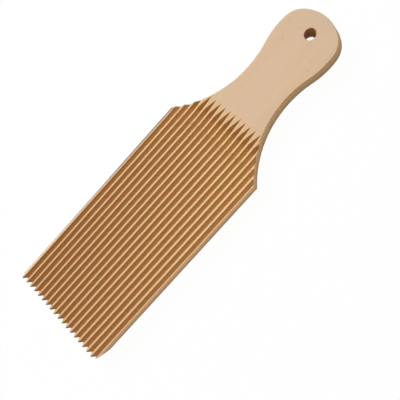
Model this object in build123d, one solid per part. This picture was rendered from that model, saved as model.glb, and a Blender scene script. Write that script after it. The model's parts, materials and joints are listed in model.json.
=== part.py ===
from build123d import *
from math import acos, cos, degrees, radians, sin, sqrt, tan
import os

# A one-piece wooden board for rolling ridged pasta: a flat paddle with a
# field of V grooves that run off its tip, a drawn-in handle with a rounded
# end, and a hanging hole. Millimetres, +Y towards the handle, +Z up out of
# the grooved face. The board lies on its flat back, and the origin is the
# middle of its bounding box on that back.

# Overall sizes
board_width = 65.0
paddle_length = 122.5
handle_length = 87.0
thickness = 7.5

# Handle: its sides leave the paddle at sharp shoulders, draw in to the waist
# and swell again into a bulb, which runs from the waist to the flatter end arc
waist_width = 28.2
bulb_length = 44.6
bulb_width = 35.7
bulb_widest_from_end = 17.3
bulb_side_radius = 43.5
bulb_corner_radius = 12.4
bulb_end_radius = 21.8

# Edges eased by sanding: face side, back side, and the tip's one worn corner
face_edge_round = 0.4
back_edge_round = 0.8
tip_corner_round = 3.0

# Hanging hole through the bulb. On its way up the drill leans towards the
# handle's end, so that a peg which rises out of a wall holds the board close
# to it. Both rims are broken by a small chamfer
hole_diameter = 6.2
hole_from_end = 11.8
hole_lean = 19.0
hole_chamfer = 0.15

# Tip: the back is bevelled up to a feather edge at the grooved face. The edge
# is a little off square, and longest on the side away from the worn corner
tip_bevel_angle = 38.0
tip_skew = 0.6
tip_blend_radius = 10.0

# Grooves: a row of V cutters ploughs them all in a single pass. A planing
# block between the cutters takes a thin layer off the crests, so they lie a
# little below the handle. The row sits a little to one side of the board
groove_count = 19
groove_pitch = 3.54
groove_offset = -0.55
groove_depth = 1.6
groove_angle = 90.0
crest_drop = 0.5

# The cutters lift out where the handle begins. Each stands a little ahead of
# the one before, so the grooves end one after the other along a slanting line
cutter_radius = 60.0
lift_from_shoulder = 4.6
lift_slant = 4.0

# How far every cutting body reaches past the wood
overrun = 2.0

half_width = board_width / 2
half_waist = waist_width / 2
half_bulb = bulb_width / 2
tip_y = -(paddle_length + handle_length) / 2
end_y = tip_y + paddle_length + handle_length
shoulder_y = tip_y + paddle_length
waist_y = end_y - bulb_length
widest_y = end_y - bulb_widest_from_end
crest_z = thickness - crest_drop


def radius_to_parallel(along, across):
    """The arc that moves sideways by across and ends parallel to the axis."""
    return (along**2 + across**2) / (2 * across)


def lerp_on_circle(centre, towards, radius):
    """The point of a circle that lies in the direction of another point."""
    reach = (towards - centre).length
    return centre + (towards - centre) * (radius / reach)


def outline():
    """The board's plan: straight paddle edges, shoulders and handle curves.

    Five tangent arcs make each side of the handle. The shoulder arc and the
    neck arc meet at the waist, parallel to the axis. The neck arc and the
    bulb's side arc share an S from the waist to the bulb's widest point. The
    corner arc fits inside both the side arc and the end arc.
    """
    shoulder_radius = radius_to_parallel(waist_y - shoulder_y, half_width - half_waist)
    both_radii = radius_to_parallel(widest_y - waist_y, half_bulb - half_waist)
    neck_radius = both_radii - bulb_side_radius
    neck = Vector(half_waist + neck_radius, waist_y)
    side = Vector(half_bulb - bulb_side_radius, widest_y)
    end = Vector(0, end_y - bulb_end_radius)

    from_side = bulb_side_radius - bulb_corner_radius
    from_end = bulb_end_radius - bulb_corner_radius
    apart = (end - side).length
    run = (from_side**2 - from_end**2 + apart**2) / (2 * apart)
    rise = sqrt(from_side**2 - run**2)
    line = (end - side) * (1 / apart)
    corner = side + line * run + Vector(-line.Y, line.X) * rise

    tip_corner = Vector(half_width, tip_y)
    shoulder = Vector(half_width, shoulder_y)
    waist = Vector(half_waist, waist_y)
    neck_to_side = lerp_on_circle(neck, side, neck_radius)
    side_to_corner = lerp_on_circle(side, corner, bulb_side_radius)
    corner_to_end = lerp_on_circle(end, corner, bulb_end_radius)
    other_tip_corner = Vector(-half_width, tip_y)
    other_corner_to_end = Vector(-corner_to_end.X, corner_to_end.Y)
    with BuildSketch() as plan:
        with BuildLine():
            Line(tip_corner, shoulder)
            RadiusArc(shoulder, waist, shoulder_radius)
            RadiusArc(waist, neck_to_side, neck_radius)
            RadiusArc(neck_to_side, side_to_corner, -bulb_side_radius)
            RadiusArc(side_to_corner, corner_to_end, -bulb_corner_radius)
            mirror(about=Plane.YZ)
            Line(other_tip_corner, tip_corner)
            RadiusArc(corner_to_end, other_corner_to_end, -bulb_end_radius)
        make_face()
        fillet(plan.vertices().group_by(Axis.Y)[0].sort_by(Axis.X)[-1], tip_corner_round)
    return plan.sketch


def tip_bevel():
    """What is cut from under the tip, with the bevel blended into the back.

    The bevel meets the crests, not the handle's face, in the feather edge.
    """
    slope = tan(radians(tip_bevel_angle))
    skew = radians(tip_skew)
    past = overrun / slope
    heel = crest_z / slope
    edge_plane = Plane(
        origin=(-half_width, tip_y, 0),
        x_dir=(-sin(skew), cos(skew), 0),
        z_dir=(cos(skew), sin(skew), 0),
    )
    with BuildSketch(edge_plane) as side_view:
        with BuildLine():
            FilletPolyline(
                (-past, crest_z + overrun),
                (heel, 0),
                (heel + tip_blend_radius, 0),
                radius=tip_blend_radius,
            )
            Polyline(
                (heel + tip_blend_radius, 0),
                (heel + tip_blend_radius, -overrun),
                (-past, -overrun),
                (-past, crest_z + overrun),
            )
        make_face()
    return extrude(side_view.sketch, amount=board_width + overrun, both=True)


def swept(profile, lift_y, centre_z, direction, highest_z):
    """A cutter's profile pushed off the tip, and turned up out of the wood at its lift."""
    lowest_z = profile.vertices().sort_by(Axis.Z)[0].Z
    radius = centre_z - lowest_z
    length = lift_y - tip_y + board_width * tan(radians(lift_slant)) + overrun
    clear_turn = degrees(acos(1 - (highest_z - lowest_z) / radius))
    arbor = Axis(origin=(0, lift_y, centre_z), direction=direction)
    straight = extrude(profile, amount=length, dir=(0, -1, 0))
    return straight, revolve(profile, axis=arbor, revolution_arc=clear_turn)


def cutters():
    """One V cutter for each groove, and the planing block that levels the crests.

    All turn about the same height. A V cutter stays square to the board and
    stands at its own place on the slanting line, which the block follows.
    """
    bottom_z = crest_z - groove_depth
    centre_z = bottom_z + cutter_radius
    top_z = thickness + overrun
    half_mouth = (top_z - bottom_z) * tan(radians(groove_angle / 2))
    slant = radians(lift_slant)
    lift_y = shoulder_y + lift_from_shoulder

    tools = []
    for index in range(groove_count):
        middle = groove_offset + (index - (groove_count - 1) / 2) * groove_pitch
        own_lift_y = lift_y + middle * tan(slant)
        own_plane = Plane(origin=(middle, own_lift_y, 0), x_dir=(1, 0, 0), z_dir=(0, -1, 0))
        with BuildSketch(own_plane) as tooth:
            with BuildLine():
                Polyline((-half_mouth, top_z), (0, bottom_z), (half_mouth, top_z), close=True)
            make_face()
        tools.extend(swept(tooth.sketch, own_lift_y, centre_z, (1, 0, 0), top_z))

    along_arbor = (cos(slant), sin(slant), 0)
    block_plane = Plane(origin=(0, lift_y, 0), x_dir=along_arbor, z_dir=(sin(slant), -cos(slant), 0))
    reach = half_width / cos(slant) + overrun
    with BuildSketch(block_plane) as block:
        with BuildLine():
            Polyline((-reach, crest_z), (reach, crest_z), (reach, top_z), (-reach, top_z), close=True)
        make_face()
    tools.extend(swept(block.sketch, lift_y, centre_z, along_arbor, top_z))
    return tools


def hanging_hole():
    """The leaning drill. It is centred on its mark in the grooved face."""
    lean = radians(hole_lean)
    mark = Plane(
        origin=(0, end_y - hole_from_end, thickness),
        x_dir=(1, 0, 0),
        z_dir=(0, sin(lean), cos(lean)),
    )
    with BuildSketch(mark) as mouth:
        Circle(hole_diameter / 2)
    reach = thickness / cos(lean) + hole_diameter * tan(lean) + overrun
    return extrude(mouth.sketch, amount=reach, both=True)


def make_board():
    """The blank is sawn out, eased along its edges, then cut and drilled."""
    blank = extrude(outline(), amount=thickness)
    blank = fillet(blank.faces().sort_by(Axis.Z)[0].edges(), back_edge_round)
    blank = fillet(blank.faces().sort_by(Axis.Z)[-1].edges(), face_edge_round)
    board = blank - hanging_hole()
    for side in (0, -1):
        rim = board.faces().sort_by(Axis.Z)[side].inner_wires()[0]
        board = chamfer(rim.edges(), hole_chamfer)
    board = board - tip_bevel()
    for cutter in cutters():
        board = board - cutter
    return board


board = make_board()
board.label = "board"

os.makedirs("parts", exist_ok=True)
export_step(board, "parts/board.step")
print("solids", len(board.solids()), "volume", board.volume, "box", board.bounding_box())
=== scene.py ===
# %% [markdown]
# # A ridged pasta board in bare beech
#
# The object is one piece of wood: a flat paddle with a field of V grooves, a
# drawn-in handle and a hanging hole. Dough is rolled down the grooves with
# the thumb, so the wood stays bare, without oil or lacquer.
#
# Its looks come from three things, and each has its own steps below: what the
# milling and sanding left on the surface, the colour of beech where it is
# sanded and where it is cut, and a low light that rakes across the ribs.

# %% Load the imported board
import json
import math

import bmesh
import bpy
from mathutils import Matrix, Vector, kdtree, noise


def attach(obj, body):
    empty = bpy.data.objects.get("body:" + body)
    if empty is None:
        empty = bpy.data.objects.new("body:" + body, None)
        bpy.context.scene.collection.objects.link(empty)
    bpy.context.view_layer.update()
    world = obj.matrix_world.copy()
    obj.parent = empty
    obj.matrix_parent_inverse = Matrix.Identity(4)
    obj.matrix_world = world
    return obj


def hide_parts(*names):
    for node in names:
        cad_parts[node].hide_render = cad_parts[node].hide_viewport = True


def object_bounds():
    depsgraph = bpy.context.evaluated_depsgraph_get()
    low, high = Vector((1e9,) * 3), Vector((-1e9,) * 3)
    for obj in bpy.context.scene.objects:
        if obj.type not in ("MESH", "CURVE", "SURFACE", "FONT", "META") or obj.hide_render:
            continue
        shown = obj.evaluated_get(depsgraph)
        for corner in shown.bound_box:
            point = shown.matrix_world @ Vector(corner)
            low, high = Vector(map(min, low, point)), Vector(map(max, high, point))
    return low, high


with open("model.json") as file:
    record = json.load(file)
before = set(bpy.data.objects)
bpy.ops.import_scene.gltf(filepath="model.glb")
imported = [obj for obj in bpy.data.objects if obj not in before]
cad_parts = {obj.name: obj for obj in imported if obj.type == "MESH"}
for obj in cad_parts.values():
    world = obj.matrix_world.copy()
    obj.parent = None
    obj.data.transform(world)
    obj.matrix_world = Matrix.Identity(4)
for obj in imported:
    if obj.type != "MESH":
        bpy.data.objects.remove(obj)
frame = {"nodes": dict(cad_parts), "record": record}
cad_low, cad_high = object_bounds()
MM = 0.001
print("board, mm:", [round((high - low) / MM, 1) for low, high in zip(cad_low, cad_high)])

# %% [markdown]
# ## Camera
#
# The photograph looks down on the board from beside its right edge, about 24
# degrees off plumb, with a long lens, so the ribs stay almost parallel. The
# camera is placed as a photographer would say it: a point to look at, the
# distance, the bearing and height of the camera, and how far it is rolled to
# lay the board along the picture's diagonal.

# %% Camera
look_at = Vector((16.1, -6.15, 7.0)) * MM
camera_distance = 462.3 * MM
camera_bearing = math.radians(15.72)
camera_height = math.radians(65.76)
camera_roll = math.radians(-62.2)
camera_sees_from = 10 * MM
lens_mm = 81.73


def direction(bearing, height):
    """The unit vector that points at a bearing from +X and a height above the floor."""
    level = math.cos(height)
    return Vector((level * math.cos(bearing), level * math.sin(bearing), math.sin(height)))


def stand(thing, aim, towards, distance, roll=0.0):
    """Stands a camera or a lamp at a distance from its aim, looking back at it."""
    bpy.context.scene.collection.objects.link(thing)
    turn = towards.to_track_quat("Z", "Y").to_matrix().to_4x4()
    own_roll = Matrix.Rotation(roll, 4, "Z")
    thing.matrix_world = Matrix.Translation(aim + towards * distance) @ turn @ own_roll


def place_camera():
    """The scene's camera, looking at the board and rolled about its own axis."""
    lens = bpy.data.cameras.new("camera")
    lens.lens = lens_mm
    lens.clip_start = camera_sees_from
    camera = bpy.data.objects.new("camera", lens)
    stand(camera, look_at, direction(camera_bearing, camera_height), camera_distance, camera_roll)
    bpy.context.scene.camera = camera
    return camera


camera = place_camera()
print("camera at, mm:", [round(part / MM, 1) for part in camera.matrix_world.translation])

# %% [markdown]
# ## From the drawn board to a milled one
#
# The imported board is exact: every rib is straight and every crest is level.
# Milled beech isn't. Fibres tear a little along each crest, the cutters leave
# the walls faintly rippled, the points at the tip break, and sanding by hand
# eases the edges unevenly. One way is to fake all of that with bump, but bump
# leaves the outline of a crest perfectly straight. So the surface is copied,
# cut into short strips across the grain, and moved by hundredths of a
# millimetre, and by a few tenths at the teeth.

# %% Copy the surface and find the grooves
grooved = frame["nodes"]["board"]
thickness = cad_high.z
weld_distance = 0.002 * MM
groove_at_least = 60 * MM
fold_at_least = 1.0  # radians


def open_surface(source):
    """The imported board's surface, welded along its edges."""
    surface = bmesh.new()
    surface.from_mesh(source.data)
    bmesh.ops.remove_doubles(surface, verts=surface.verts, dist=weld_distance)
    return surface


def groove_bottoms(surface):
    """The places across the board of the groove bottoms: long edges in which two walls meet."""
    found = []
    for edge in surface.edges:
        if edge.calc_length() > groove_at_least and edge.calc_face_angle_signed(0) < -fold_at_least:
            found.append((edge.verts[0].co.x + edge.verts[1].co.x) / 2)
    return sorted(found)


board_surface = open_surface(grooved)
board_surface.normal_update()
grooves = groove_bottoms(board_surface)
pitch = (grooves[-1] - grooves[0]) / (len(grooves) - 1)
print("grooves:", len(grooves), "pitch, mm:", round(pitch / MM, 3))

# %% [markdown]
# A plane that slices the mesh adds a row of points without moving any. Slices
# every millimetre along the board give the crests something to waver with,
# and a few slices along each groove give its walls room for ripples. The
# long slices come first, while the faces are few. The short ones are made by
# halves, so that each plane meets only the faces near it.

# %% Slice the surface
slice_step = 1.0 * MM
wall_slices_mm = (-1.2, -0.6, 0.6, 1.2)
face_slice_step = 2.5 * MM
on_plane = 0.0001 * MM
ribs_face_up = 0.3
ribs_lie_below = 0.005 * MM


def slice_faces(surface, faces, place, normal):
    """Adds the points where a plane meets these faces, and gives back all the faces that result."""
    edges = {edge for face in faces for edge in face.edges}
    points = {point for face in faces for point in face.verts}
    geometry = [*points, *edges, *faces]
    cut = bmesh.ops.bisect_plane(surface, geom=geometry, dist=on_plane, plane_co=place, plane_no=normal)
    return [part for part in cut["geom"] if isinstance(part, bmesh.types.BMFace)]


def slice_across(surface, faces, first, last):
    """Slices these faces across the grain at every step from first to last."""
    if first > last:
        return
    middle = (first + last) // 2
    place = Vector((0, cad_low.y + middle * slice_step, 0))
    near, far = [], []
    for face in slice_faces(surface, faces, place, Vector((0, 1, 0))):
        side = near if face.calc_center_median().y < place.y else far
        side.append(face)
    slice_across(surface, near, first, middle - 1)
    slice_across(surface, far, middle + 1, last)


def is_ribbed(face):
    """True for the faces that the cutters made, seen from above."""
    return face.normal.z > ribs_face_up and face.calc_center_median().z < thickness - ribs_lie_below


def slice_board(surface):
    """Slices along each groove, then over the handle and back, and then across the grain."""
    along = Vector((1, 0, 0))
    for groove in grooves:
        for offset in wall_slices_mm:
            ribbed = [face for face in surface.faces if is_ribbed(face)]
            slice_faces(surface, ribbed, Vector((groove + offset * MM, 0, 0)), along)
    for step in range(1, int((cad_high.x - cad_low.x) / face_slice_step)):
        plain = [face for face in surface.faces if not is_ribbed(face)]
        slice_faces(surface, plain, Vector((cad_low.x + step * face_slice_step, 0, 0)), along)
    slice_across(surface, surface.faces[:], 1, int((cad_high.y - cad_low.y) / slice_step))


slice_board(board_surface)
print("points after slicing:", len(board_surface.verts))

# %% [markdown]
# ## What each surface is
#
# One plank shows several surfaces: the sanded face and edges, the planed back,
# the two walls that the cutters left in each groove, the thin crests between
# them, the bevel cut across the fibres under the tip, and the drilled hole.
# Each gets a finish, so every small face is sorted by its direction and place.
# Two heights are kept for each point too: its depth below the crest beside it,
# because the tone of a wall changes on its way down, and how far that crest
# has risen above the ribs, because the lands between the grooves' ends climb
# to the handle's face and are sanded with it.

# %% Sort the faces
hole = next(mount for mount in frame["record"]["mounts"] if mount["name"] == "hang_hole")
hole_centre = Vector(hole["pos_m"])
hole_axis = Vector(hole["axis"])
# The rim's chamfer is sorted with the bore, so that it takes the bore's painted shade
rim_painted_shade_width = 0.25 * MM
hole_reach = hole["dims"]["r_mm"] * MM + rim_painted_shade_width
bevel_reach = 15 * MM
crest_reach_share = 0.55
along_weight = 3
surfaces = ("face", "back", "crest", "left wall", "right wall", "edge", "bevel", "bore")

# How far up each kind of surface faces, from -1 to 1, how far sideways a wall
# does, and how little it may lean towards the handle
level_faces_up = 0.9
back_faces_up = -0.85
bevel_faces_up = -0.3
wall_faces_up = 0.5
wall_faces_sideways = 0.5
wall_leans_at_most = 0.05


def surface_of(face):
    """The name of the surface that a small face belongs to."""
    normal = face.normal
    centre = face.calc_center_median()
    from_axis = (centre - hole_centre).cross(hole_axis).length
    if from_axis < hole_reach:
        return "bore"
    if normal.z < back_faces_up:
        return "back"
    if normal.z > level_faces_up and not is_ribbed(face):
        return "face"
    if normal.z < bevel_faces_up and centre.y < cad_low.y + bevel_reach:
        return "bevel"
    if normal.z > level_faces_up:
        return "crest"
    is_wall = normal.z > wall_faces_up and normal.y < wall_leans_at_most
    if is_wall and abs(normal.x) > wall_faces_sideways:
        return "left wall" if normal.x > 0 else "right wall"
    return "edge"


def depths_and_lifts(surface):
    """For each point that the cutters made: its depth below the crest beside it, and that crest's rise.

    The crest is looked for across the grain, so lengths along it count several times.
    """
    made_by_cutters = ("crest", "left wall", "right wall")
    cut = {point for face in surface.faces if surface_of(face) in made_by_cutters for point in face.verts}
    tree = kdtree.KDTree(len(cut))
    for point in cut:
        tree.insert((point.co.x, along_weight * point.co.y, 0), point.index)
    tree.balance()
    surface.verts.ensure_lookup_table()
    crests = {}
    for point in cut:
        near = tree.find_range((point.co.x, along_weight * point.co.y, 0), crest_reach_share * pitch)
        crests[point.index] = max(surface.verts[index].co.z for _, index, _ in near)
    ribs_level = sorted(crests.values())[len(crests) // 2]
    depths = {index: crest - surface.verts[index].co.z for index, crest in crests.items()}
    lifts = {index: crest - ribs_level for index, crest in crests.items()}
    return depths, lifts


board_surface.normal_update()
board_surface.verts.index_update()
depths, lifts = depths_and_lifts(board_surface)
print("grooves, mm deep:", round(max(depths.values()) / MM, 2))
print("lands rise, mm:", round(max(lifts.values()) / MM, 2))
kinds = [surfaces.index(surface_of(face)) for face in board_surface.faces]
print({name: kinds.count(index) for index, name in enumerate(surfaces)})

# %% [markdown]
# ## Wear
#
# Noise that is stretched along the board moves neighbouring points together,
# as fibres do. All of it takes wood away, so the board never grows out of
# its drawn size. On the ribs it stops where the crests begin to rise to the
# handle.

# %% Wear the surface
# The most that each kind of wear takes away
planed_off = 0.08 * MM
crest_loss = 0.05 * MM
nick_loss = 0.15 * MM
ripple = 0.02 * MM
edge_loss = 0.05 * MM
tooth_loss = 0.35 * MM

# How wide and how long the patches of each are
crest_patch = (1.5 * MM, 3 * MM)
nick_patch = (2.2 * MM, 4 * MM)
ripple_patch = (1.2 * MM, 1.6 * MM)
edge_patch = (3 * MM, 6 * MM)
tooth_patch = (2.5 * MM, 20 * MM)

# How far each reaches: down from a crest, up a land, in from the tip
crest_reach = 0.4 * MM
crest_top = 0.01 * MM
land_reach = 0.05 * MM
tooth_reach = 3.0 * MM

# Only the peaks of the nicks' noise count, and a surface that lies flatter than this isn't eased
nicks_above_share = 0.68
flat = 0.95


def along_grain(place, across, along):
    """Smooth noise from 0 to 1 whose patches are so wide across the grain and so long with it."""
    return 0.5 + 0.5 * noise.noise(Vector((place.x / across, place.y / along, place.z / across)))


def wear(surface):
    """Planes the crests a little wider, ripples the walls, shortens the teeth and eases the edges."""
    cut = set(depths)
    for point in surface.verts:
        place = point.co.copy()
        if point.index in cut:
            at_crest = max(0.0, 1 - depths[point.index] / crest_reach)
            nicks = max(0.0, along_grain(place, *nick_patch) - nicks_above_share)
            loss = crest_loss * along_grain(place, *crest_patch) + nick_loss * nicks
            rippling = ripple * along_grain(place, *ripple_patch)
            ribbed = min(1.0, max(0.0, 1 - lifts[point.index] / land_reach))
            point.co.z -= ribbed * (at_crest * loss + (1 - at_crest) * rippling)
            if depths[point.index] < crest_top:
                groove = min(grooves, key=lambda middle: abs(middle - place.x))
                point.co.z -= ribbed * planed_off
                point.co.x += ribbed * math.copysign(planed_off, groove - place.x)
        elif abs(point.normal.z) < flat:
            eased = edge_loss * along_grain(place, *edge_patch)
            point.co -= point.normal * eased
        from_tip = place.y - cad_low.y
        if from_tip < tooth_reach:
            broken = tooth_loss * along_grain(place, *tooth_patch)
            point.co.y += broken * (1 - from_tip / tooth_reach)


wear(board_surface)
worn_back = min(point.co.y for point in board_surface.verts) - cad_low.y
print("tip worn back by, mm:", round(worn_back / MM, 2))

# %% [markdown]
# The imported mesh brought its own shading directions, which no longer fit the
# sliced and worn surface. They are dropped, and every edge where two faces
# meet at more than 28 degrees is marked as a real one.

# %% Make the board's object
sharp_angle = math.radians(28)


def board_object(surface):
    """The worn board, with a slot for each surface, the depths and the lifts."""
    mesh = bpy.data.meshes.new("board_wood")
    surface.normal_update()
    for edge in surface.edges:
        edge.smooth = edge.calc_face_angle(0) < sharp_angle
    surface.to_mesh(mesh)
    surface.free()
    mesh.attributes.remove(mesh.attributes["custom_normal"])
    mesh.polygons.foreach_set("material_index", kinds)
    mesh.polygons.foreach_set("use_smooth", [True] * len(mesh.polygons))
    for name, heights in (("depth_mm", depths), ("lift_mm", lifts)):
        kept = mesh.attributes.new(name, "FLOAT", "POINT")
        in_mm = [heights.get(index, 0.0) / MM for index in range(len(mesh.vertices))]
        kept.data.foreach_set("value", in_mm)
    mesh.update()
    made = bpy.data.objects.new("board_wood", mesh)
    bpy.context.scene.collection.objects.link(made)
    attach(made, "root")
    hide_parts("board")
    return made


board = board_object(board_surface)
print("faces:", len(board.data.polygons))

# %% [markdown]
# ## Beech
#
# Steamed beech is an even, pinkish tan. It has no strong figure. What the eye
# gets is a faint change of tone from one growth ring to the next, a silky
# streak along the fibres, and short dark flecks, the rays, a millimetre or
# two long. Bare sanded wood is matt: its gloss is low and spread wide.
#
# The wood could be wrapped in a picture, but then the pattern breaks at every
# edge. A solid pattern that fills the plank, stretched along the grain, runs
# on from the face over the edges and into the grooves, and shows end grain
# where the cut crosses it, as real wood does.

# %% Colours and nodes
wood_ior = 1.5


def linear(hex_colour):
    """An sRGB hex colour as the linear values that the shaders use."""
    shares = [int(hex_colour[start:start + 2], 16) / 255 for start in (1, 3, 5)]
    return (*[s / 12.92 if s <= 0.04045 else ((s + 0.055) / 1.055) ** 2.4 for s in shares], 1.0)


def add(tree, kind, settings=None, **inputs):
    """One shader node. Inputs go by socket identifier and are values, or sockets to link from."""
    made = tree.nodes.new("ShaderNode" + kind)
    for name, value in (settings or {}).items():
        setattr(made, name, value)
    sockets = {socket.identifier: socket for socket in made.inputs}
    for name, value in inputs.items():
        socket = sockets[name.replace("_", " ") if name.replace("_", " ") in sockets else name]
        if isinstance(value, bpy.types.NodeSocket):
            tree.links.new(value, socket)
        else:
            socket.default_value = value
    return made


def blank_material(name):
    """A material whose Principled shader waits for its finish."""
    material = bpy.data.materials.new(name)
    material.use_nodes = True
    return material, material.node_tree, material.node_tree.nodes["Principled BSDF"]


def wood_noise(tree, across, along, detail=2.0, shift=0.0):
    """Noise that fills the plank, its patches so wide across the grain and so long with it.

    A shift moves it, so that no two patterns fall in the same places.
    """
    place = add(tree, "TexCoord").outputs["Object"]
    scale = (1 / across, 1 / along, 1 / across)
    fitted = add(tree, "Mapping", Vector=place, Scale=scale, Location=(shift, shift, shift))
    return add(tree, "TexNoise", Vector=fitted.outputs[0], Scale=1.0, Detail=detail).outputs["Fac"]


def between(tree, value, low, high):
    """0 where a value is at low, 1 where it is at high, and no more or less beyond them."""
    made = add(tree, "MapRange", Value=value, From_Min=low, From_Max=high)
    return made.outputs["Result"]


def blend(tree, share, first, second, most=1.0):
    """The colour between two others. The share of the second runs from 0 to most."""
    part = add(tree, "Math", {"operation": "MULTIPLY"}, Value=share, Value_001=most).outputs[0]
    made = add(tree, "Mix", {"data_type": "RGBA"}, Factor_Float=part, A_Color=first, B_Color=second)
    return made.outputs[2]


print("a steamed beech tan, #D8BB97, is linear", [round(share, 3) for share in linear("#D8BB97")[:3]])

# %% [markdown]
# The sanded faces are the palest. Sizes are real ones: growth rings 6 mm
# apart, fibres drawn 0.4 mm wide, coarser than they are, so that they show,
# and rays 0.7 mm by 2.2 mm. Pinker patches a few centimetres long come from
# how deeply the wood was steamed. The back is planed and the bevel is cut
# across the fibres, so both are a little deeper than the face.

# %% Sanded beech
# Across the grain, and along it
ring_size = (6 * MM, 90 * MM)
fibre_size = (0.4 * MM, 12 * MM)
ray_size = (0.7 * MM, 2.2 * MM)
steamed_size = (14 * MM, 26 * MM)

# Which part of each noise is stretched over the whole change: a narrow one has hard borders
ring_part = (0.3, 0.7)
fibre_part = (0.3, 0.7)
steamed_part = (0.35, 0.65)
ray_part = (0.72, 0.78)

fibre_share = 0.3
steamed_share = 0.45
sanded_ray_share = 0.55
sanded_roughness = 0.7
fibre_strength = 0.2
sanded_fibre_height = 0.02 * MM
sanded_ray_tone = "#9A6E4E"


def ray_flecks(tree, share):
    """Sparse short dark rays, as a share from 0 to 1."""
    rays = between(tree, wood_noise(tree, *ray_size, detail=1.0, shift=3.0), *ray_part)
    return add(tree, "Math", {"operation": "MULTIPLY"}, Value=rays, Value_001=share).outputs[0]


def raise_fibres(tree, shader, fibres, height):
    """Lets the fibres stand a few hundredths of a millimetre out of the surface."""
    relief = add(tree, "Bump", Height=fibres, Strength=fibre_strength, Distance=height)
    tree.links.new(relief.outputs[0], shader.inputs["Normal"])


def sanded_beech(name, pale, deep, pink):
    """Bare wood under fine abrasive paper: pale, matt, its fibres just felt."""
    material, tree, shader = blank_material(name)
    rings = between(tree, wood_noise(tree, *ring_size), *ring_part)
    fibres = between(tree, wood_noise(tree, *fibre_size, detail=3.0, shift=7.0), *fibre_part)
    tone = add(tree, "Mix", Factor_Float=fibre_share, A_Float=rings, B_Float=fibres).outputs[0]
    wood = blend(tree, tone, linear(pale), linear(deep))
    steamed = between(tree, wood_noise(tree, *steamed_size, shift=19.0), *steamed_part)
    wood = blend(tree, steamed, wood, linear(pink), steamed_share)
    colour = blend(tree, ray_flecks(tree, sanded_ray_share), wood, linear(sanded_ray_tone))
    tree.links.new(colour, shader.inputs["Base Color"])
    raise_fibres(tree, shader, fibres, sanded_fibre_height)
    shader.inputs["Roughness"].default_value = sanded_roughness
    shader.inputs["IOR"].default_value = wood_ior
    return material


beech_back = sanded_beech("beech_planed_back", pale="#D2B48E", deep="#C4A47C", pink="#C8A98A")
tip_bevel = sanded_beech("beech_bevelled_tip", pale="#D2B08A", deep="#C29A70", pink="#C8A078")
print("finishes:", beech_back.name, tip_bevel.name)

# %% [markdown]
# The face isn't one colour. Beside the grooves the wood is warmer, as the
# cutters left it, and the rounded end is painted a little darker and greyer:
# painted shade, for light that falls off along the board. Each change starts
# at one place along the board and is full at another, so each is written as a
# pair of places.

# %% Face with painted shade at the far end
warmed_along = (40 * MM, 27.5 * MM)
# Where the painted shade of the rounded end starts and is full, and how strong it is
far_end_shade_along = (80 * MM, 104 * MM)
far_end_shade_share = 0.35


def wood_of(material):
    """A finish's nodes, its shader, the colour it has so far, and the place on the board."""
    tree = material.node_tree
    shader = tree.nodes["Principled BSDF"]
    wood = shader.inputs["Base Color"].links[0].from_socket
    place = add(tree, "TexCoord").outputs["Object"]
    return tree, shader, wood, add(tree, "SeparateXYZ", Vector=place).outputs


def face_with_far_end_shade(name, pale, deep, pink, warm, held_and_shaded):
    """Sanded wood, warmed beside the grooves, and painted darker and greyer at the far end, as painted
    shade.
    """
    material = sanded_beech(name, pale, deep, pink)
    tree, shader, wood, parts = wood_of(material)
    wood = blend(tree, between(tree, parts["Y"], *warmed_along), wood, linear(warm))
    # Painted shade: darker and greyer towards the rounded end
    wood = blend(tree, between(tree, parts["Y"], *far_end_shade_along), wood, linear(held_and_shaded), far_end_shade_share)
    tree.links.new(wood, shader.inputs["Base Color"])
    return material


beech_face = face_with_far_end_shade("beech_fine_sanded", pale="#D8BB97", deep="#D1B28E", pink="#D7B89A",
                          warm="#E0B47C", held_and_shaded="#C8B49C")
print("finish:", beech_face.name)

# %% [markdown]
# The edges were sawn and then sanded. They are pale along the paddle and
# browner along the handle, where fingers hold them. Along the paddle the top
# of the edge is painted paler still, a painted highlight where its rounded
# arris catches the light. The whole left side is painted duller: painted
# shade over the light that the lamp throws on it. Low down the wood is painted
# darker and greyer: painted shade where the board meets the sheet.

# %% Sanded edge
# Along the paddle a painted highlight brightens the top of the edge: where it starts and is full along
# the board, and up the edge
paddle_along = (22 * MM, 8 * MM)
highlight_up = (3.8 * MM, 5.8 * MM)
browned_along = (15 * MM, 80 * MM)
browned_share = 0.75
# Painted shade on the left side: where it starts and is full, and how strong it is
left_shade_across = (-4 * MM, -12 * MM)
left_shade_share = 0.6
# Painted shade low down: where it starts and is full, and how strong it is
low_shade_down = (5 * MM, 0.0)
low_shade_share = 0.75


def sanded_edge(name, pale, deep, highlight_tone, held_and_shaded, left_shade_tone, low_shade_tone):
    """A sawn edge sanded smooth and browned by hands, with a painted highlight at the top along the
    paddle, and painted shade on the left side and low down.
    """
    material = sanded_beech(name, pale, deep, deep)
    tree, shader, wood, parts = wood_of(material)
    on_paddle = between(tree, parts["Y"], *paddle_along)
    # A painted highlight along the paddle's top, the hands' browning, then painted shade on the left and
    # low down
    wood = blend(tree, between(tree, parts["Z"], *highlight_up), wood, linear(highlight_tone), on_paddle)
    wood = blend(tree, between(tree, parts["Y"], *browned_along), wood, linear(held_and_shaded), browned_share)
    wood = blend(tree, between(tree, parts["X"], *left_shade_across), wood, linear(left_shade_tone), left_shade_share)
    wood = blend(tree, between(tree, parts["Z"], *low_shade_down), wood, linear(low_shade_tone), low_shade_share)
    tree.links.new(wood, shader.inputs["Base Color"])
    return material


beech_edge = sanded_edge("beech_sanded_edge", pale="#F2D8B0", deep="#E6C89C", highlight_tone="#FFDEB6",
                         held_and_shaded="#BEA47E", left_shade_tone="#9C8A74", low_shade_tone="#A69488")
print("finish:", beech_edge.name)

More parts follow.
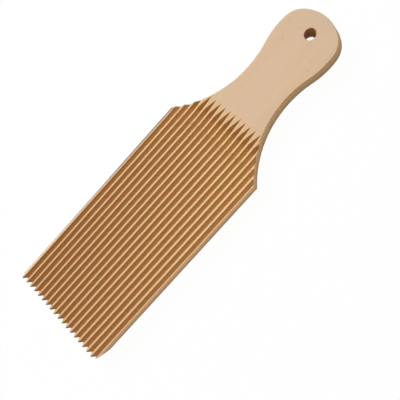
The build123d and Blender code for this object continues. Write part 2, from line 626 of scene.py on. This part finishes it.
# %% [markdown]
# The cutters' walls aren't sanded. Their colours paint much of the light and
# shade in the grooves. The left wall of each groove faces away from the lamp
# and is painted darker and warmer: painted shade, deepest just below its
# crest. The right wall faces the lamp and is painted paler towards its crest,
# a painted highlight, and darker lower down, painted shade from the crest
# beside it. The bottom of each groove is painted a little paler: painted
# bounce light from the walls. So a wall's colour follows its depth. Redder
# and more olive lengths, a few millimetres long, follow one another along it,
# as the knives meet harder and softer wood.
#
# Four things change that colour from place to place. The grooved field is
# painted deeper in tone towards the tip's left corner: painted shade, for light
# that falls off across the board.
# The lands take on the sanded face's colour as they rise to the handle, while
# the walls beside them, where the knives rubbed as they lifted, are scorched.
# The strip outside the last crest on the left is painted dimmer at the tip
# and dark near the handle: painted shade, where a crest or wall beside it
# would shade it. The rib ends are stained.

# %% Colour by depth and place
groove_depth_mm = 1.6

# The painted shade drifts along a slanting line: in these units across the
# board and along it, it starts at the first sum and is full at the second
shade_drift_unit = (48 * MM, 60 * MM)
shade_drift = (0.63, -2.04)
shade_drift_share = 0.34
drift_shade_tone = "#8A4A16"

# Where each other change starts and is full
lands_rise_mm = (0.1, 0.5)
# Painted shade on the strip outside the last crest on the left: where it lies across the board, and where
# it turns from the tip's tone to the handle's
margin_across = (-30.9 * MM, -31.5 * MM)
margin_shade_along = (-80 * MM, -15 * MM)
rib_ends_along = (cad_low.y + 2.4 * MM, cad_low.y + 0.4 * MM)
rib_end_share = 0.65
# The painted shade of that strip at the tip and near the handle
margin_tip_shade = "#C6AE8E"
margin_handle_shade = "#6E4E2A"
# The rib ends' stain
rib_end_stain = "#6E5832"


def by_depth(tree, depth, top_reach, crest, wall, bottom):
    """A colour that runs from the crest to the wall's at top_reach, and on to the groove's bottom:
    painted light and shade down a groove.
    """
    upper = between(tree, depth, 0.0, top_reach)
    lower = between(tree, depth, top_reach, groove_depth_mm)
    return blend(tree, lower, blend(tree, upper, linear(crest), linear(wall)), linear(bottom))


def by_place(tree, colour, run_out):
    """The same colour changed by where it lies on the board, with painted shade across the field and on
    the left strip, and to run_out where the grooves end.
    """
    place = add(tree, "TexCoord").outputs["Object"]
    parts = add(tree, "SeparateXYZ", Vector=place).outputs
    toward_drift_shade = add(tree, "VectorMath", {"operation": "DOT_PRODUCT"}, Vector=place,
                     Vector_001=(1 / shade_drift_unit[0], 1 / shade_drift_unit[1], 0)).outputs["Value"]
    # Painted shade, deeper towards the tip's left corner
    colour = blend(tree, between(tree, toward_drift_shade, *shade_drift), colour, linear(drift_shade_tone), shade_drift_share)
    lift = add(tree, "Attribute", {"attribute_name": "lift_mm"}).outputs["Fac"]
    colour = blend(tree, between(tree, lift, *lands_rise_mm), colour, linear(run_out))
    # Painted shade on the left strip, dimmer at the tip and dark near the handle
    stained = between(tree, parts["Y"], *margin_shade_along)
    margin = blend(tree, stained, linear(margin_tip_shade), linear(margin_handle_shade))
    colour = blend(tree, between(tree, parts["X"], *margin_across), colour, margin)
    rib_end = between(tree, parts["Y"], *rib_ends_along)
    return blend(tree, rib_end, colour, linear(rib_end_stain), rib_end_share)


print("rib ends stained between, mm:", [round(along / MM, 1) for along in rib_ends_along])

# %% [markdown]
# Two sets of three colours, a redder and a more olive one, make each cut
# finish: at the crest, on the wall and in the groove's bottom. The left wall
# turns dark just below its crest, and the right wall more slowly, as painted
# shade. The bore was drilled in one pass, so its colour doesn't change with
# depth; it is painted dark all through, as painted shade for the inside of the
# hole. No cut surface is sanded, so its fibres stand a little higher than
# those of the face.

# %% Knife-cut beech
hue_size = (1.6 * MM, 3.2 * MM)
hue_part = (0.38, 0.62)
cut_fibre_size = (0.35 * MM, 5 * MM)
cut_ray_share = 0.4
cut_roughness = 0.65
cut_fibre_height = 0.03 * MM
cut_ray_tone = "#8A5A36"


def cut_beech(name, red, olive, run_out, top_reach=0.2):
    """Wood as the knives leave it. Red and olive each give crest, wall and bottom colours, which paint
    the light and shade down a groove.
    """
    material, tree, shader = blank_material(name)
    depth = add(tree, "Attribute", {"attribute_name": "depth_mm"}).outputs["Fac"]
    hue = between(tree, wood_noise(tree, *hue_size, detail=3.0, shift=11.0), *hue_part)
    redder = by_depth(tree, depth, top_reach, *red)
    colour = blend(tree, hue, redder, by_depth(tree, depth, top_reach, *olive))
    colour = by_place(tree, colour, run_out)
    colour = blend(tree, ray_flecks(tree, cut_ray_share), colour, linear(cut_ray_tone))
    tree.links.new(colour, shader.inputs["Base Color"])
    fibres = wood_noise(tree, *cut_fibre_size, detail=3.0, shift=5.0)
    raise_fibres(tree, shader, fibres, cut_fibre_height)
    shader.inputs["Roughness"].default_value = cut_roughness
    shader.inputs["IOR"].default_value = wood_ior
    return material


# The wall that faces away from the lamp: its colours are painted shade, darkest just below the crest
left_wall = cut_beech("beech_wall_in_painted_shade", red=("#E0B688", "#CC885A", "#E8BA88"),
                      olive=("#D8BA82", "#BC9052", "#DEC27F"), run_out="#B4864E")
# The wall that faces the lamp: a painted highlight towards its crest and painted shade lower down
right_wall = cut_beech("beech_knife_cut_wall", red=("#E7B887", "#B58457", "#E2AE78"),
                       olive=("#DFBC82", "#AD8B55", "#DCB676"), run_out="#D0A470", top_reach=0.9)
rib_crest = cut_beech("beech_planed_crest", red=("#EEC38C", "#E8B981", "#D8AE80"),
                      olive=("#EAC789", "#E4BE7E", "#D4B27C"), run_out="#E6BC86")
# The bore is painted dark all through: painted shade for the inside of the hole
bore_in_painted_shade = cut_beech("beech_bore_in_painted_shade", red=("#AE7A4C",) * 3, olive=("#AA7E4A",) * 3,
                         run_out="#AE7A4C")
finishes = {"face": beech_face, "back": beech_back, "crest": rib_crest, "left wall": left_wall,
            "right wall": right_wall, "edge": beech_edge, "bevel": tip_bevel, "bore": bore_in_painted_shade}
for surface in surfaces:
    board.data.materials.append(finishes[surface])
print("finishes on the board:", [finish.name for finish in board.data.materials])

# %% [markdown]
# ## Light
#
# A soft lamp stands to the left of the board and low, so that it rakes over
# the ribs: walls that face it are bright, and the others fall into shade. The
# room fills the shade with warmer light. The levels are set so that a colour
# that lies flat renders about as it is written: with their tints, lamp and
# room together give about 1 in each channel.

# %% Lamp and room
lamp_level = 0.76
lamp_tint = "#E2EFFF"
room_level = 0.44
room_tint = "#FFE1BC"
lamp_distance = 2200 * MM
lamp_side = 1000 * MM
lamp_bearing = math.radians(182)
lamp_height = math.radians(32)
lamp_aim = Vector((0, 0, 7)) * MM


def raking_lamp():
    """A square lamp whose power gives its level on a surface that lies flat at its aim."""
    light = bpy.data.lights.new("raking_lamp", "AREA")
    light.size = lamp_side
    light.energy = math.pi**2 * lamp_distance**2 * lamp_level / math.sin(lamp_height)
    light.color = linear(lamp_tint)[:3]
    lamp = bpy.data.objects.new("raking_lamp", light)
    stand(lamp, lamp_aim, direction(lamp_bearing, lamp_height), lamp_distance)
    return lamp


def seen_directly(tree):
    """1 for rays that come from the camera or by way of a reflection, else 0."""
    path = add(tree, "LightPath").outputs
    first = add(tree, "Math", {"operation": "MAXIMUM"}, Value=path["Is Camera Ray"],
                Value_001=path["Is Glossy Ray"])
    return add(tree, "Math", {"operation": "MAXIMUM"}, Value=first.outputs[0],
               Value_001=path["Is Transmission Ray"]).outputs[0]


def room():
    """The world: warm fill for the wood, plain white where the camera looks past the floor."""
    world = bpy.data.worlds.new("room")
    world.use_nodes = True
    bpy.context.scene.world = world
    tree = world.node_tree
    fill = tree.nodes["Background"]
    fill.inputs["Color"].default_value = linear(room_tint)
    fill.inputs["Strength"].default_value = room_level
    white = add(tree, "Background", Color=linear("#FFFFFF"), Strength=1.0)
    shown = add(tree, "MixShader", Fac=seen_directly(tree), Shader=fill.outputs[0],
                Shader_001=white.outputs[0])
    tree.links.new(shown.outputs[0], tree.nodes["World Output"].inputs["Surface"])


lamp = raking_lamp()
room()
print("lamp at, mm:", [round(part / MM) for part in lamp.matrix_world.translation])

# %% [markdown]
# ## Floor
#
# The board lies on a white sheet. Most of what the camera sees of the sheet
# is plain white, and the rest is its own shading, so a faint shadow stays
# under the board's right edge.

# %% White sheet
sheet_side = 3000 * MM
sheet_gap = 0.05 * MM
white_share = 0.972
paper_roughness = 0.9
paper_tone = "#F4F4F2"


def white_sheet():
    """A large matt sheet just under the board, kept out of the object."""
    bpy.ops.mesh.primitive_plane_add(size=sheet_side, location=(0, 0, cad_low.z - sheet_gap))
    sheet = bpy.context.object
    sheet.name = "white_sheet"
    material, tree, shader = blank_material("white_paper")
    shader.inputs["Base Color"].default_value = linear(paper_tone)
    shader.inputs["Roughness"].default_value = paper_roughness
    shader.inputs["Specular IOR Level"].default_value = 0.0
    white = add(tree, "Emission", Color=linear("#FFFFFF"), Strength=1.0)
    share = add(tree, "Math", {"operation": "MULTIPLY"}, Value=seen_directly(tree), Value_001=white_share)
    shown = add(tree, "MixShader", Fac=share.outputs[0], Shader=shader.outputs[0],
                Shader_001=white.outputs[0])
    tree.links.new(shown.outputs[0], tree.nodes["Material Output"].inputs["Surface"])
    sheet.data.materials.append(material)
    return sheet


sheet = white_sheet()
bpy.context.scene.view_settings.view_transform = "Standard"
print("sheet, mm below the board:", round((cad_low.z - sheet.location.z) / MM, 2))
